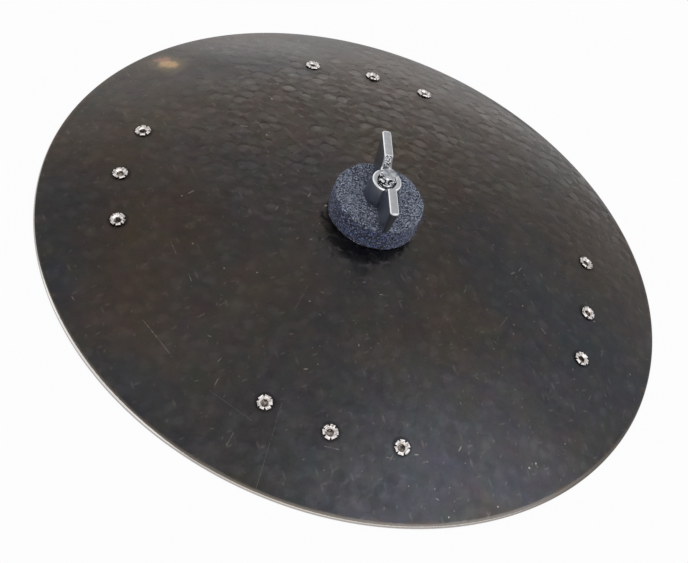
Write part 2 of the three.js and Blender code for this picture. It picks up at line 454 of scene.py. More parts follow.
def discGrid():
    # top, round rim and underside as one closed section, carried round the axis; each point then moves along
    # the sphere's normal by the hammer's relief and a long swell, which both fade out at the rim
    edgeAngle = asin(rimRadius / sphereRadius)
    above, below = sphereRadius + halfSheet, sphereRadius - halfSheet
    coveredAngle = asin(disc["coveredReach"] / above)
    top = np.r_[np.linspace(asin(disc["hole"] / above), coveredAngle, disc["coveredRings"])[:-1],
                np.linspace(coveredAngle, edgeAngle, disc["topRings"])]
    under = np.linspace(edgeAngle, asin(disc["hole"] / below), disc["underRings"])
    outwardAngle = 90 - degrees(edgeAngle)
    rim = arc((rimRadius, rimHeight), halfSheet, outwardAngle, outwardAngle - 180, disc["rimSteps"] + 2)[1:-1]
    section = np.vstack([
        np.c_[above * np.sin(top), sphereMiddle[2] + above * np.cos(top)],
        rim,
        np.c_[below * np.sin(under), sphereMiddle[2] + below * np.cos(under)],
    ])
    grid = turned(section, disc["columns"])
    normal = grid - sphereMiddle
    normal /= np.linalg.norm(normal, axis=-1, keepdims=True)
    inward = discRadius - np.hypot(grid[..., 0], grid[..., 1])

    def away(spotX, spotY):
        return np.hypot(grid[..., 0] - spotX * mm, grid[..., 1] - spotY * mm)

    relief = hammerMarks(grid[..., 0], grid[..., 1])[0] * hammerStrength(away, smoothStep)
    relief[len(top):] *= -disc["underShare"]
    swell = disc["swell"]
    relief += swell["depth"] * waves(grid, swell["size"], swell["count"], swell["seed"])
    return grid + normal * (relief * smoothStep(inward, disc["fadeEnd"], disc["fadeStart"]))[..., None]


def holeCutter():
    # one prism through the sheet at each rivet, all in one mesh
    sides = disc["rivetHoleSides"]
    angle = evenAngles(sides)
    points, faces, caps = [], [], []
    for count, name in enumerate(rivetNames):
        axis = rivetAxis[name]
        ring = seatOn(axis) + disc["rivetHole"] * spokes(axis, angle)
        first = count * 2 * sides
        points += [ring - axis * disc["sheet"] * 2, ring + axis * disc["sheet"] * 2]
        faces.append(gridFaces(2, sides, closeRows=False) + first)
        caps += [range(first, first + sides), range(first + 2 * sides - 1, first + sides - 1, -1)]
    return tidied(newPiece("cutter", np.vstack(points), np.vstack(faces), caps))


# colours of the patina are what the metal mirrors face on; places and sizes are in millimetres
patina = {
    "charcoal": (0.0635, 0.0585, 0.057, 1),
    "brown": (0.077, 0.064, 0.054, 1),
    "red": (0.080, 0.061, 0.049, 1),
    "blue": (0.0585, 0.061, 0.069, 1),
    "gold": (0.375, 0.245, 0.138, 1),
    "goldRed": (0.26, 0.15, 0.12, 1),
    "halo": (0.135, 0.11, 0.075, 1),
    "worn": (0.32, 0.285, 0.25, 1),
    "rubbed": (0.17, 0.15, 0.13, 1),
    "bright": (0.46, 0.43, 0.385, 1),
    "side": (0.42, 0.385, 0.375, 1),
    "stain": (0.13, 0.09, 0.06, 1),
    # each patch: its place, its reach and how plainly it shows
    "redPatches": ((-100, -30, 46, 0.8), (-60, 60, 40, 0.6), (20, 40, 45, 0.5), (120, 50, 45, 0.7),
                   (60, 100, 45, 0.6), (-105, -75, 42, 0.9), (-118, 14, 32, 0.7), (10, 118, 60, 0.7)),
    "bluePatches": ((25, -130, 90, 0.8), (-150, -30, 45, 0.6), (120, -40, 60, 0.9), (80, -10, 50, 0.8),
                    (-128, -92, 42, 0.3), (112, -108, 50, 0.6), (80, -72, 42, 0.6), (-92, -122, 36, 0.7),
                    (8, -34, 34, 0.6), (-136, -66, 27, 0.75), (-66, -138, 26, 0.5)),
    "goldSpot": ((-108.6, 89.5, -106.2, 89.0), 3.9),
    "redSpot": ((-112.8, 91.5, -108.4, 93.6), 2.1),
    # each set of scattered ticks or flecks: which way they run, how narrow they are and how far apart
    "ticks": ((0, 0.9, 11), (20, 0.22, 10), (115, 0.35, 11), (-12, 0.3, 12), (72, 0.16, 12), (50, 0.6, 9)),
    "flecks": ((35, 0.35, 6), (-60, 0.3, 7), (85, 0.5, 5)),
    "fleckShow": 0.15,
    "wornMiddle": (15, -50),
    "wornReach": (50, 120),
    "bareFrom": 0.50,
    "bareWhole": 0.36,
    "bareTowards": -118,
    "brightest": -136,
    "paintedRimHighlight": (0.99, 0.96, 0.91, 1),
    "sideHeight": 1.32,
    "cell": 6.2,
    "cellLean": 0.075,
    "cellDepth": 0.02,
    "cellBias": (0.45, 0.65, 0.5),
    "roughness": 0.28,
    "rivetShade": 0.45,
}
# each scratch: its two ends in millimetres, its half width, and how plainly it shows
scratches = (
    (-25, -110, -28, -150, 0.14, 0.35), (-90.9, -82.7, -76.5, -96.8, 0.17, 0.7),
    (-56.3, -110.7, -36, -120.4, 0.14, 0.35), (-42.4, -127, -44.1, -133, 0.22, 0.5),
    (-87.3, -39.9, -83.9, -46.2, 0.2, 0.45), (-76.5, -56.2, -74.5, -59.7, 0.22, 0.6),
    (-54.7, -108.1, -54, -105.2, 0.28, 0.7), (-3.1, -124.2, 3.2, -124, 0.22, 0.6),
    (24.7, -121.4, 28.4, -121, 0.22, 0.55), (71, -6, 73, -4, 0.25, 0.8), (75, -2.4, 76, 0.4, 0.25, 0.8),
    (73.6, -7.4, 74.3, -5.6, 0.2, 0.7), (-85.3, -11, -82.6, -8.2, 0.4, 0.9),
    (-68, 41.8, -64.4, 42.2, 0.4, 0.6), (-123.3, -73.7, -121.9, -75.6, 0.3, 0.6),
    (-55.6, -97, -54.4, -95, 0.25, 0.7), (-32.8, -26.3, -31.8, -25.3, 0.25, 0.8),
    (-26.8, -25.2, -25.8, -24.2, 0.25, 0.8), (-27.8, -65.1, -23.7, -49.8, 0.14, 0.35),
    (-18.7, -63.4, -15.8, -64.3, 0.22, 0.6), (-60.2, -70, -57.2, -67, 0.35, 0.3),
    (-68.3, -77.6, -65.9, -75.4, 0.35, 0.3), (71.1, -32.6, 68.1, -39, 0.18, 0.5),
    (88.9, -30.1, 91.4, -32.2, 0.22, 0.8), (122.9, -24.4, 122.4, -28.5, 0.2, 0.4),
    (125, -48, 126.4, -49.2, 0.3, 0.6), (65.6, -48.6, 67.4, -49.6, 0.25, 0.7),
)
# each speck: its place in millimetres, its reach and how plainly it shows
specks = (
    (90.9, -102.5, 0.65, 1.0), (93.8, -99.2, 0.6, 1.0), (78.8, -124.9, 0.5, 0.9), (57.1, -137.2, 0.5, 0.9),
    (-21.8, -58.6, 0.5, 0.9), (-77.7, -39.4, 0.5, 0.8), (-61.8, -50.3, 0.5, 0.8), (-47.2, -49.4, 0.5, 0.8),
    (-22.0, -2.0, 0.9, 1.0), (-54.7, 38.3, 0.6, 0.9), (-53.8, 40.5, 0.4, 0.8), (-55.1, 68.5, 0.7, 0.9),
    (-37.4, 16.7, 0.6, 0.4), (-44.9, 11.6, 0.6, 0.4), (-87.2, -12.2, 0.5, 0.9), (78.3, -22.3, 0.6, 0.7),
    (75, -40.3, 0.5, 0.6), (74.8, -35.2, 0.5, 0.7), (84.9, -28.3, 0.6, 0.35), (117.3, -10.3, 0.5, 1.0),
    (139.1, -29.3, 0.5, 0.8), (107.3, -44.4, 0.55, 0.5), (108.3, -49.3, 0.5, 0.5), (107.1, -83.8, 0.5, 0.5),
    (66, -52.8, 0.4, 0.7),
)


def patinaFinish():
    nodes, ramp, blend, noise = newFinish("darkPatina")
    place = nodes.place()
    x, y, z = nodes.axes(place)
    flat = nodes.add("ShaderNodeCombineXYZ", inputs={"X": x, "Y": y})
    inward = discRadius - (x * x + y * y) ** 0.5

    def away(spotX, spotY):
        return nodes.vector("DISTANCE", flat, (spotX * mm, spotY * mm, 0), "Value")

    def along(startX, startY, endX, endY):
        # distance from a straight line between two spots: off the nearest share of its span
        spanX, spanY = (endX - startX) * mm, (endY - startY) * mm
        over = nodes.vector("SUBTRACT", flat, (startX * mm, startY * mm, 0))
        square = spanX ** 2 + spanY ** 2
        share = nodes.vector("DOT_PRODUCT", over, (spanX / square, spanY / square, 0), "Value")
        nearest = nodes.scaled((spanX, spanY, 0), share.larger(0.0).smaller(1.0))
        return nodes.vector("DISTANCE", over, nearest, "Value")

    cloud = noise(place, 15, 4, 0.55)
    blotch = noise(place, 48, 5, 0.6, 0.8)
    mottle = noise(place, 170, 4, 0.6, 0.5)
    grain = noise(place, 700, 3, 0.6)
    dust = noise(place, 1500, 2, 0.5)
    facetReflection = nodes.add("ShaderNodeAttribute", {"attribute_name": "hammerReflection"}, output="Fac")
    colour = blend(ramp(cloud, 0.36, 0.64), patina["charcoal"], patina["brown"])
    for patches, tint in (("redPatches", "red"), ("bluePatches", "blue")):
        for left, up, reach, share in patina[patches]:
            ragged = away(left, up) / (reach * mm) + (blotch - 0.5) * 0.9
            colour = blend(ramp(ragged, 1.0, 0.2) * share, colour, patina[tint])
    # the hammer marks' painted reflection lightens or darkens the patina mark by mark
    shade = 0.91 + facetReflection * 0.24 + (mottle - 0.5) * 0.30 + (grain - 0.5) * 0.15 + (blotch - 0.5) * 0.30
    # faint shifts of hue, a few millimetres across
    hue = noise(place, 85, 4, 0.65, 0.4).output("Color")
    hue = nodes.vector("ADD", nodes.scaled(hue, 0.36), (0.82, 0.82, 0.82))
    colour = nodes.vector("MULTIPLY", colour, hue)
    # painted reflections of the hammer dents: soft pale and dark patches, a few millimetres across, on the
    # near side
    shade = shade + (noise(place, 105, 2, 0.5, 0.6) - 0.5) * 0.6 * ramp(y, -80 * mm, -125 * mm)
    # painted shadow: the patina is darkened in a ring round each rivet, just outside its petals, where they
    # shade the sheet
    for axis in rivetAxis.values():
        spot = seatOn(axis)
        shade = shade * (1 - ramp(away(spot[0] / mm, spot[1] / mm), 5.4 * mm, 3.9 * mm) * patina["rivetShade"])
    colour = nodes.scaled(colour, shade)

    # wear: dust, scattered dots and ticks, then the scratches and specks that stand in one place
    broken = ramp(grain, 0.3, 0.6)
    wear = ramp(dust, 0.72, 0.80) * ramp(mottle, 0.45, 0.65) * 0.30
    patchy = ramp(blotch, 0.42, 0.62)
    whole, faint = patina["wornReach"]
    middle = ramp(away(*patina["wornMiddle"]), faint * mm, whole * mm) * 0.75 + 0.25
    for angle, narrow, size in patina["ticks"]:
        ticks = nodes.cells(nodes.stretched(flat, (1 / narrow, 1.0, 1.0), angle), size * mm)
        plain = ramp(nodes.axes(ticks.output("Color"))[0], 0.35, 1.0)
        wear = wear.larger(ramp(ticks, 0.030, 0.012) * plain * patchy * middle)
    for angle, narrow, size in patina["flecks"]:
        flecks = nodes.cells(nodes.stretched(flat, (1 / narrow, 1.0, 1.0), angle), size * mm)
        plain = ramp(nodes.axes(flecks.output("Color"))[1], 0.5, 1.0)
        wear = wear.larger(ramp(flecks, 0.12, 0.02) * plain * patina["fleckShow"])
    for startX, startY, endX, endY, half, plain in scratches:
        line = ramp(along(startX, startY, endX, endY), half * mm, half * 0.3 * mm)
        wear = wear.larger(line * broken * plain)
    for left, up, reach, plain in specks:
        wear = wear.larger(ramp(away(left, up), reach * mm, reach * 0.4 * mm) * plain)
    colour = blend(wear, colour, patina["worn"])

    line, reach = patina["goldSpot"]
    spot = along(*line) / (reach * mm) + (blotch - 0.5) * 1.2 + (mottle - 0.5) * 1.3
    colour = blend(ramp(spot, 2.9, 0.9) * 0.75, colour, patina["halo"])
    line, reach = patina["redSpot"]
    redder = along(*line) / (reach * mm) + (mottle - 0.5) * 0.9
    colour = blend(ramp(spot, 1.3, 0.4) * 0.9, colour, patina["gold"])
    colour = blend(ramp(redder, 1.4, 0.3) * 0.75, colour, patina["goldRed"])

    stained = ramp(inward + (blotch - 0.5) * 0.005, 3.2 * mm, 1.4 * mm) * ramp(mottle, 0.5, 0.62)
    colour = blend(stained * 0.5, colour, patina["stain"])
    # the near part of the rim is rubbed further in
    nearSide = ramp(y / (discRadius - inward), -0.1, -0.75)

    def facing(bearing):
        # one where the rim looks along a bearing, falling as the cosine of the angle away from it
        bearing = radians(bearing)
        return (x * cos(bearing) + y * sin(bearing)) / (discRadius - inward)

    # painted highlight: the rim's bare top turns near white where it faces the bearing 'brightest'
    paintedRimHighlight = ramp(facing(patina["brightest"]), 0.91, 0.98)
    # the rim's side is bare metal, set darker and greyer than its top as painted shade
    side = ramp(z, (patina["sideHeight"] + 0.1) * mm, (patina["sideHeight"] - 0.1) * mm)
    rim = blend(side, blend(paintedRimHighlight, patina["bright"], patina["paintedRimHighlight"]), patina["side"])
    rubbed = ramp(inward - nearSide * 0.001 + (mottle - 0.5) * 0.0012, 1.0 * mm, 0.2 * mm) * nearSide
    colour = blend(rubbed * 0.8, colour, patina["rubbed"])
    bare = inward - nearSide * 0.0001 - paintedRimHighlight * 0.0003 + (grain - 0.5) * 0.0003
    bare = ramp(bare, patina["bareFrom"] * mm, patina["bareWhole"] * mm)
    bare = bare * ramp(facing(patina["bareTowards"]), 0.2, 0.6)
    colour = blend(bare, colour, rim)

    # small hammer facets: each cell leans its own way off its middle, and ends in a soft crease
    cell = nodes.cells(flat, patina["cell"] * mm)
    lean = nodes.vector("SUBTRACT", cell.output("Color"), patina["cellBias"])
    offset = nodes.vector("SUBTRACT", flat, cell.output("Position"))
    strength = hammerStrength(away, ramp)
    window = ramp(cell, 0.70, 0.40) * ramp(inward, disc["fadeEnd"], disc["fadeStart"]) * strength
    facet = nodes.vector("DOT_PRODUCT", lean, offset, "Value") * (2 * patina["cellLean"])
    hammered = nodes.bump(window * (facet + patina["cellDepth"] * mm), 1.0, 1.0)
    return nodes.surface({
        "Base Color": colour,
        "Metallic": 1.0,
        "Roughness": patina["roughness"] + (blotch - 0.5) * 0.12 + (mottle - 0.5) * 0.15,
        "Normal": nodes.bump(mottle * 0.7 + grain * 0.3, 0.2, 0.12 * mm, hammered),
    })


def markHammerReflection(piece):
    # stores each vertex's painted reflection, a random brightness for each hammer mark, for the finish to
    # read
    points = np.empty(len(piece.data.vertices) * 3)
    piece.data.vertices.foreach_get("co", points)
    points = points.reshape(-1, 3)
    store = piece.data.attributes.new("hammerReflection", "FLOAT", "POINT")
    store.data.foreach_set("value", hammerMarks(points[:, 0], points[:, 1])[1])


cymbalDisc = wrappedPiece("cymbal_disc_hammered", discGrid())
combine(cymbalDisc, holeCutter(), "DIFFERENCE")
markHammerReflection(cymbalDisc)
dress(cymbalDisc, patinaFinish(), "disc", "cymbal_disc")
print("disc:", len(cymbalDisc.data.polygons), "faces")


# Rivets: a stem with a plain flange below, drilled from above, its mouth split into six curled petals

rivet = lengths(
    bore=1.5, boreDepth=1.2, barrel=2.4, flange=3.8, flangeThickness=0.6, lift=0.9, gap=0.3, mouth=3.85,
    crest=0.75, wall=0.45, notchRoot=2.5, crease=0.06, petalLift=0.15, step=0.18,
) | {
    "petals": 6,
    "notchNarrow": 0.07,
    "notchWide": 0.20,
    "square": 24,
    "splitWander": 0.14,
    "notchSpread": (0.6, 1.6),
    "petalLength": (-0.03, 0.05),
    "columns": 150,
    "seed": 20,
}


def rivetSection():
    # (radius, height) from under the flange, up the stem, out and back round a petal, and down the bore
    flangeTop = -halfSheet - rivet["gap"] - rivet["lift"]
    flangeBottom = flangeTop - rivet["flangeThickness"]
    edge = rivet["flangeThickness"] / 2
    throat = halfSheet + rivet["gap"] / 2
    floor = throat - rivet["boreDepth"]
    crown = halfSheet + rivet["crest"]
    barrel, bore, tip = rivet["barrel"], rivet["bore"], rivet["mouth"]
    lip = crown + rivet["wall"]
    return resampled(np.vstack([
        [(0, flangeBottom)],
        arc((rivet["flange"] - edge, flangeBottom + edge), edge, -90, 90, 8),
        [(barrel, flangeTop), (barrel, throat), (barrel + 0.15 * mm, throat + 0.15 * mm)],
        [(barrel + 0.5 * mm, crown - 0.2 * mm), (tip - 0.5 * mm, crown - 0.15 * mm)],
        [(tip - 0.2 * mm, crown - 0.4 * mm)],
        arc((tip - 0.2 * mm, crown - 0.18 * mm), 0.22 * mm, -60, 60, 6),
        [(tip - 0.3 * mm, lip - 0.2 * mm), (tip - 0.75 * mm, lip - 0.3 * mm)],
        [(barrel + 0.25 * mm, lip - 0.1 * mm), (barrel - 0.15 * mm, crown + 0.1 * mm)],
        [(bore + 0.2 * mm, throat + 0.2 * mm), (bore, throat), (bore, floor), (0, floor)],
    ]), rivet["step"], closed=False)


def rivetGrid(axis, seed):
    # the section carried round the rivet's axis; above the sheet, the wall is drawn in to the notch's root
    # at each split, over an angle that widens outwards, each petal's end is cut square across, and each
    # petal gets its own length and lift
    rng = np.random.default_rng(seed)
    section = rivetSection()
    angle = evenAngles(rivet["columns"])
    petals, wander, lift = rivet["petals"], rivet["splitWander"], rivet["petalLift"]
    count = np.arange(petals + 1)
    splits = count + rng.uniform(-wander, wander, len(count)) * (count % petals > 0)
    share = np.interp((angle / turn * petals + rng.uniform()) % petals, splits, count)
    petal = np.floor(share).astype(int) % petals
    split = np.round(share).astype(int) % petals
    fromSplit = 0.5 - np.abs(share % 1 - 0.5)
    reach, height = section[:, :1], section[:, 1:]
    root, mouth = rivet["notchRoot"], rivet["mouth"]
    onPetal = smoothStep(reach, root - 0.1 * mm, mouth - 0.4 * mm) * (height > 0)
    out = np.clip((reach - root) / (mouth - root), 0, 1) * (height > 0)
    width = rivet["notchNarrow"] + (rivet["notchWide"] - rivet["notchNarrow"]) * out
    width = width * rng.uniform(*rivet["notchSpread"], petals)[split]
    notch = smoothStep(fromSplit, width / 2 + 0.04, width / 2 - 0.03)
    crease = rivet["crease"] * np.cos(fromSplit * turn)
    height = height + onPetal * (rng.uniform(-lift, lift, petals)[petal] - crease)
    square = cos(radians(rivet["square"])) / np.cos((0.5 - fromSplit) * turn / petals)
    reach = reach * (1 + (square - 1 + rng.uniform(*rivet["petalLength"], petals)[petal]) * onPetal)
    reach = reach - np.maximum(reach - root, 0) * notch * (out > 0)
    return seatOn(axis) + reach[..., None] * spokes(axis, angle) + height[..., None] * axis


def nickelFinish():
    nodes, ramp, blend, noise = newFinish("nickelSilver")
    place = nodes.place()
    stain = noise(place, 900, 4, 0.6)
    grain = noise(place, 1600, 3, 0.6)
    # the drilled bore is dull and brown: a point's height above the middle of the sheet tells it
    height = nodes.vector("DISTANCE", place, tuple(sphereMiddle), "Value") - sphereRadius
    bore = ramp(height, halfSheet + 0.4 * mm, halfSheet + 0.1 * mm)
    bore = bore * ramp(height, -0.9 * mm, -0.5 * mm)
    colour = blend(ramp(stain, 0.45, 0.70), rgb(238, 232, 229), rgb(128, 117, 108))
    # the bore's brown is darker in some patches and lighter in others
    boreMottle = ramp(noise(place, 520, 2, 0.5), 0.46, 0.62)
    boreMottle = blend(boreMottle, rgb(44, 37, 30), rgb(176, 164, 152))
    return nodes.surface({
        "Base Color": blend(bore, colour, boreMottle),
        "Metallic": 1 - bore,
        "Roughness": 0.22 + (stain - 0.5) * 0.3,
        "Normal": nodes.bump(grain, 0.6, 0.15 * mm),
    })


nickel = nickelFinish()
for count, name in enumerate(rivetNames):
    grid = rivetGrid(rivetAxis[name], rivet["seed"] + count)
    piece = newPiece(name + "_petals", grid.reshape(-1, 3), gridFaces(*grid.shape[:2], closeRows=False))
    dress(tidied(piece, weld=poleWeld), nickel, name, name)
print("rivets:", len(rivetNames))


# Felts: round slabs with soft edges and an uneven nap, the upper one with loose fibres round its wall

# painted shade: the wall's darker colour gives way to the top's between the heights wallEnd and topStart
felt = lengths(
    edge=1.0, step=0.5, bore=6.7, stand=0.2, contact=0.05, fibreRadius=0.05, shortest=0.5, longest=1.7,
    fibreFoot=1.5, wallEnd=42.3, topStart=43.9, blendInset=1,
) | {
    "columns": 280,
    "seatSteps": 12,
    "lumps": ((9 * mm, 0.14 * mm, 14, 31), (1.7 * mm, 0.09 * mm, 24, 32)),
    "fibres": 2000,
    "fibreStations": 4,
    "fibreSides": 3,
    "fibreRoot": 0.2,
    "fibreTaper": 0.6,
    "wallShare": 0.7,
    "topReach": (0.6 * mm, 4 * mm),
    "topLift": 0.35,
    "straight": 0.6,
    "wallDrift": 0.55,
    "topDrift": (0.8, 0.8, 0.1),
    "wallCurl": 0.3,
    "topCurl": (0.3, 0.3, 0.05),
    "seed": 33,
}


def feltOutline(node, upper):
    # the (radius, height) section: flat at the far face, and seated on the dome at the near one
    low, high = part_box(node)
    radius, inner, edge = high.x, felt["bore"], felt["edge"]
    side = 1 if upper else -1
    ring = np.linspace(inner, radius - edge * 0.4, felt["seatSteps"])
    seat = np.stack([ring, sheetHeight(ring, side * halfSheet) + side * felt["contact"]], axis=-1)
    face = (high.z if upper else low.z) + side * felt["stand"]
    corner = arc((radius - edge, face - side * edge), edge, 0, side * 90, 7)
    outline = np.vstack([seat, [(radius, seat[-1, 1] + side * edge * 0.6)], corner, [(inner, face)]])
    return resampled(outline, felt["step"])


def napped(grid):
    # the surface moved out and in by two sizes of random waves
    flat = grid.reshape(-1, 3)
    normal = flat / np.hypot(flat[:, 0], flat[:, 1])[:, None]
    middle = (flat[:, 2].max() + flat[:, 2].min()) / 2
    normal[:, 2] = ((flat[:, 2] - middle) / (np.ptp(flat[:, 2]) / 2)) ** 3
    shift = sum(depth * waves(flat, size, count, seed) for size, depth, count, seed in felt["lumps"])
    return (flat + normal * shift[:, None]).reshape(grid.shape)


def fringe(low, high):
    # thin three-sided stalks that leave the wall and the top's edge: each follows root plus heading times
    # share plus curl times share squared, and tapers
    rng = np.random.default_rng(felt["seed"])
    count, stations, sides = felt["fibres"], felt["fibreStations"], felt["fibreSides"]
    angle = rng.uniform(0, turn, count)
    onWall = (rng.uniform(size=count) < felt["wallShare"])[:, None]
    around = np.c_[np.cos(angle), np.sin(angle), np.zeros(count)]
    rootHeight = rng.uniform(low.z + felt["fibreFoot"], high.z, count)
    wallRoot = around * high.x + np.c_[0 * angle, 0 * angle, rootHeight]
    topRoot = around * (high.x - rng.uniform(*felt["topReach"], count))[:, None] + [0, 0, high.z]
    root = np.where(onWall, wallRoot, topRoot)
    normal = np.where(onWall, around, [0, 0, felt["topLift"]])
    drift = rng.normal(size=(count, 3)) * np.where(onWall, felt["wallDrift"], felt["topDrift"])
    curl = rng.normal(size=(count, 3)) * np.where(onWall, felt["wallCurl"], felt["topCurl"])
    length = rng.uniform(felt["shortest"], felt["longest"], (count, 1, 1))
    share = np.linspace(-felt["fibreRoot"], 1, stations)[None, :, None]
    heading = normal * felt["straight"] + drift
    path = root[:, None] + length * (heading[:, None] * share + curl[:, None] * share ** 2)
    side = np.cross(heading, rng.normal(size=(count, 3)))
    side /= np.linalg.norm(side, axis=1, keepdims=True)
    other = np.cross(heading, side)
    other /= np.linalg.norm(other, axis=1, keepdims=True)
    spoke = evenAngles(sides)[:, None]
    ring = np.cos(spoke) * side[:, None] + np.sin(spoke) * other[:, None]
    taper = felt["fibreRadius"] * (1 - felt["fibreTaper"] * np.maximum(share, 0))[..., None]
    points = path[:, :, None] + ring[:, None] * taper
    size = stations * sides
    first = np.arange(count)[:, None, None] * size
    faces = gridFaces(stations, sides, closeRows=False) + first
    ends = np.stack([np.arange(sides), np.arange(size - sides, size)]) + first
    return points.reshape(-1, 3), faces.reshape(-1, 4), ends.reshape(-1, sides)


def feltPiece(name, node, upper):
    # the outline carried round the axis and napped; the upper felt has its fringe in the same mesh
    grid = napped(turned(feltOutline(node, upper), felt["columns"]))
    points, faces, ends = grid.reshape(-1, 3), gridFaces(*grid.shape[:2]), np.zeros((0, 3), int)
    if upper:
        stalks, walls, ends = fringe(*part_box(node))
        faces, ends = np.vstack([faces, walls + len(points)]), ends + len(points)
        points = np.vstack([points, stalks])
    return tidied(newPiece(name, points, faces, ends.tolist()))


def feltFinish():
    nodes, ramp, blend, noise = newFinish("heatheredFelt")
    place = nodes.place()
    x, y, z = nodes.axes(place)
    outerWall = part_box("top_felt")[1].x
    loose = ramp((x * x + y * y) ** 0.5, outerWall + 0.3 * mm, outerWall + 1.2 * mm)
    clump = noise(place, 330, 4, 0.6, 0.6)
    strand = noise(place, 950, 2, 0.6, 0.8)
    fine = noise(place, 1700, 2, 0.5, 0.5)
    # painted shade: the wall is darker and bluer than the top, and has fewer pale flecks
    top = ramp(z + (clump - 0.5) * 0.002, felt["wallEnd"], felt["topStart"])
    dark = blend(top, rgb(4, 6, 19), rgb(20, 25, 45))
    light = blend(top, rgb(72, 84, 130), rgb(112, 120, 138))
    mix = clump * 0.15 + strand * 0.4 + fine * 0.45 - (1 - top) * 0.022
    colour = blend(ramp(mix, 0.45, 0.55), dark, light)
    colour = blend(ramp(fine, 0.57, 0.65) * (0.45 + top * 0.3), colour, rgb(178, 182, 190))
    colour = blend(ramp(strand, 0.42, 0.34) * 0.7, colour, rgb(10, 13, 26))
    # the loose fibres past the wall are paler: partly their own pale fibres, partly painted sheen
    colour = blend(loose * 0.6, colour, rgb(120, 126, 140))
    return nodes.surface({
        "Base Color": colour,
        "Roughness": 0.95,
        "Sheen Weight": 0.15,
        "Sheen Roughness": 0.5,
        "Normal": nodes.bump(clump * 0.4 + strand * 0.7 + fine * 0.4, 0.8, 0.5 * mm),
    })


greyFelt = feltFinish()
for node, upper in (("top_felt", True), ("lower_felt", False)):
    pad = feltPiece(node + "_nap", node, upper)
    low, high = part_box(node)
    dress(pad, greyFelt, None, node)
    bottom, top = (0, 0, low.z + felt["blendInset"]), (0, 0, high.z - felt["blendInset"])
    start, end = (bottom, top) if upper else (top, bottom)
    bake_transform(pad)
    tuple(start)
    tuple(end)
    print("felt:", len(pad.data.polygons), "faces")


# Wing nut: a tapered boss with two plate wings grown out of it

nut = lengths(
    bore=4.3, mouth=4.5, base=8.0, top=6.9, height=11.3, edge=0.7, wingThickness=4.2, draft=0.25,
    footReach=24.6, tipReach=26.6, innerReach=10.9, wingRise=5.7, footLift=1.2, root=5.6, corner=0.85,
    footRound=1.7, tipRound=1.6, footTaper=13, fillet=0.3, filletFrom=7.0, filletTo=9.5, topSink=0.5,
    topInset=0.6,
) | {
    "wingAngle": 99.6,
    "footThin": 0.08,
    "tipThin": 0.2,
    "columns": 160,
    "wingStations": 80,
    "crowding": 1.6,
    "cornerSteps": 6,
    "cornerShare": 0.8,
    "footEase": 0.97,
    "hardEdge": 40,
}
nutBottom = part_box("wing_nut")[0].z
nutCrown = nutBottom + nut["height"]


def bossPiece():
    # a closed section carried round the axis: rounded foot and crown, tapered wall, bore with a flared mouth
    edge, bore, mouth = nut["edge"], nut["bore"], nut["mouth"]
    section = np.vstack([
        [(bore, nutBottom), (bore + 1 * mm, nutBottom)],
        arc((nut["base"] - edge, nutBottom + edge), edge, -90, 0, 6),
        arc((nut["top"] - edge, nutCrown - edge), edge, 5, 90, 7),
        [(mouth + 0.2 * mm, nutCrown), (mouth, nutCrown - 0.1 * mm)],
        [(bore, nutCrown - mouth + bore - 0.1 * mm)],
    ])
    return wrappedPiece("wing_nut_chrome", turned(section, nut["columns"]))


def wingGrid():
    # a rounded rectangle carried outwards: station by station its width, foot and top are set, and its
    # foot narrows to a thin edge well before its top does
    low, high = nutBottom + nut["footLift"], nutCrown + nut["wingRise"]
    steps = nut["cornerSteps"]
    quarter = np.radians(np.linspace(0, 90, steps))
    cornerX = np.r_[np.cos(quarter), -np.sin(quarter), -np.cos(quarter), np.sin(quarter)]
    cornerZ = np.r_[np.sin(quarter), np.cos(quarter), -np.sin(quarter), -np.cos(quarter)]
    signX = np.repeat([1, -1, -1, 1], steps)
    signZ = np.repeat([1, 1, -1, -1], steps)
    # stations crowd together towards the tip, where the outline turns
    share = (1 - (1 - np.linspace(0, 1, nut["wingStations"])) ** nut["crowding"])[:, None]
    reach = nut["root"] + (nut["tipReach"] - nut["root"]) * share
    fillet = nut["fillet"] * (1 - smoothStep(reach, nut["filletFrom"], nut["filletTo"]))
    tipRound, footRound = nut["tipRound"], nut["footRound"]
    ending = np.where(signZ > 0, tipRound, nut["footTaper"])
    endRound = np.sqrt(1 - np.clip((reach - nut["tipReach"] + ending) / ending, 0, 1) ** 2)
    thin = np.where(signZ > 0, nut["tipThin"], nut["footThin"])
    half = (nut["wingThickness"] / 2 + fillet) * (thin + (1 - thin) * endRound)
    corner = np.minimum(nut["corner"], half * nut["cornerShare"])
    start, topLow = nut["top"] - nut["topInset"], nutCrown - nut["topSink"]
    rise = np.clip((reach - start) / (nut["innerReach"] - start), 0, 1)
    top = topLow + (high - topLow) * rise - nut["corner"] * (1 - endRound[:, :1])
    footCurve = np.clip((reach - nut["tipReach"] + footRound) / footRound, 0, 1)
    foot = low + footRound * (1 - np.sqrt(1 - nut["footEase"] * footCurve ** 2))
    height = np.where(signZ > 0, top - corner, foot + corner) + corner * cornerZ
    lean = (height - low) / (high - low)
    sideways = signX * (half - corner + nut["draft"] * (1 - lean) * endRound) + corner * cornerX
    outer = nut["footReach"] + (nut["tipReach"] - nut["footReach"]) * lean
    out = nut["root"] + (outer - nut["root"]) * share
    return np.stack([out, sideways, height], axis=-1)


def wingPiece(angle):
    # one wing, turned to its angle and closed at both ends
    grid = wingGrid()
    rows, columns = grid.shape[:2]
    points = grid.reshape(-1, 3) @ np.array(Matrix.Rotation(radians(angle), 3, "Z")).T
    caps = [range(columns), range(rows * columns - 1, (rows - 1) * columns - 1, -1)]
    return tidied(newPiece("wing", points, gridFaces(rows, columns, closeRows=False), caps))


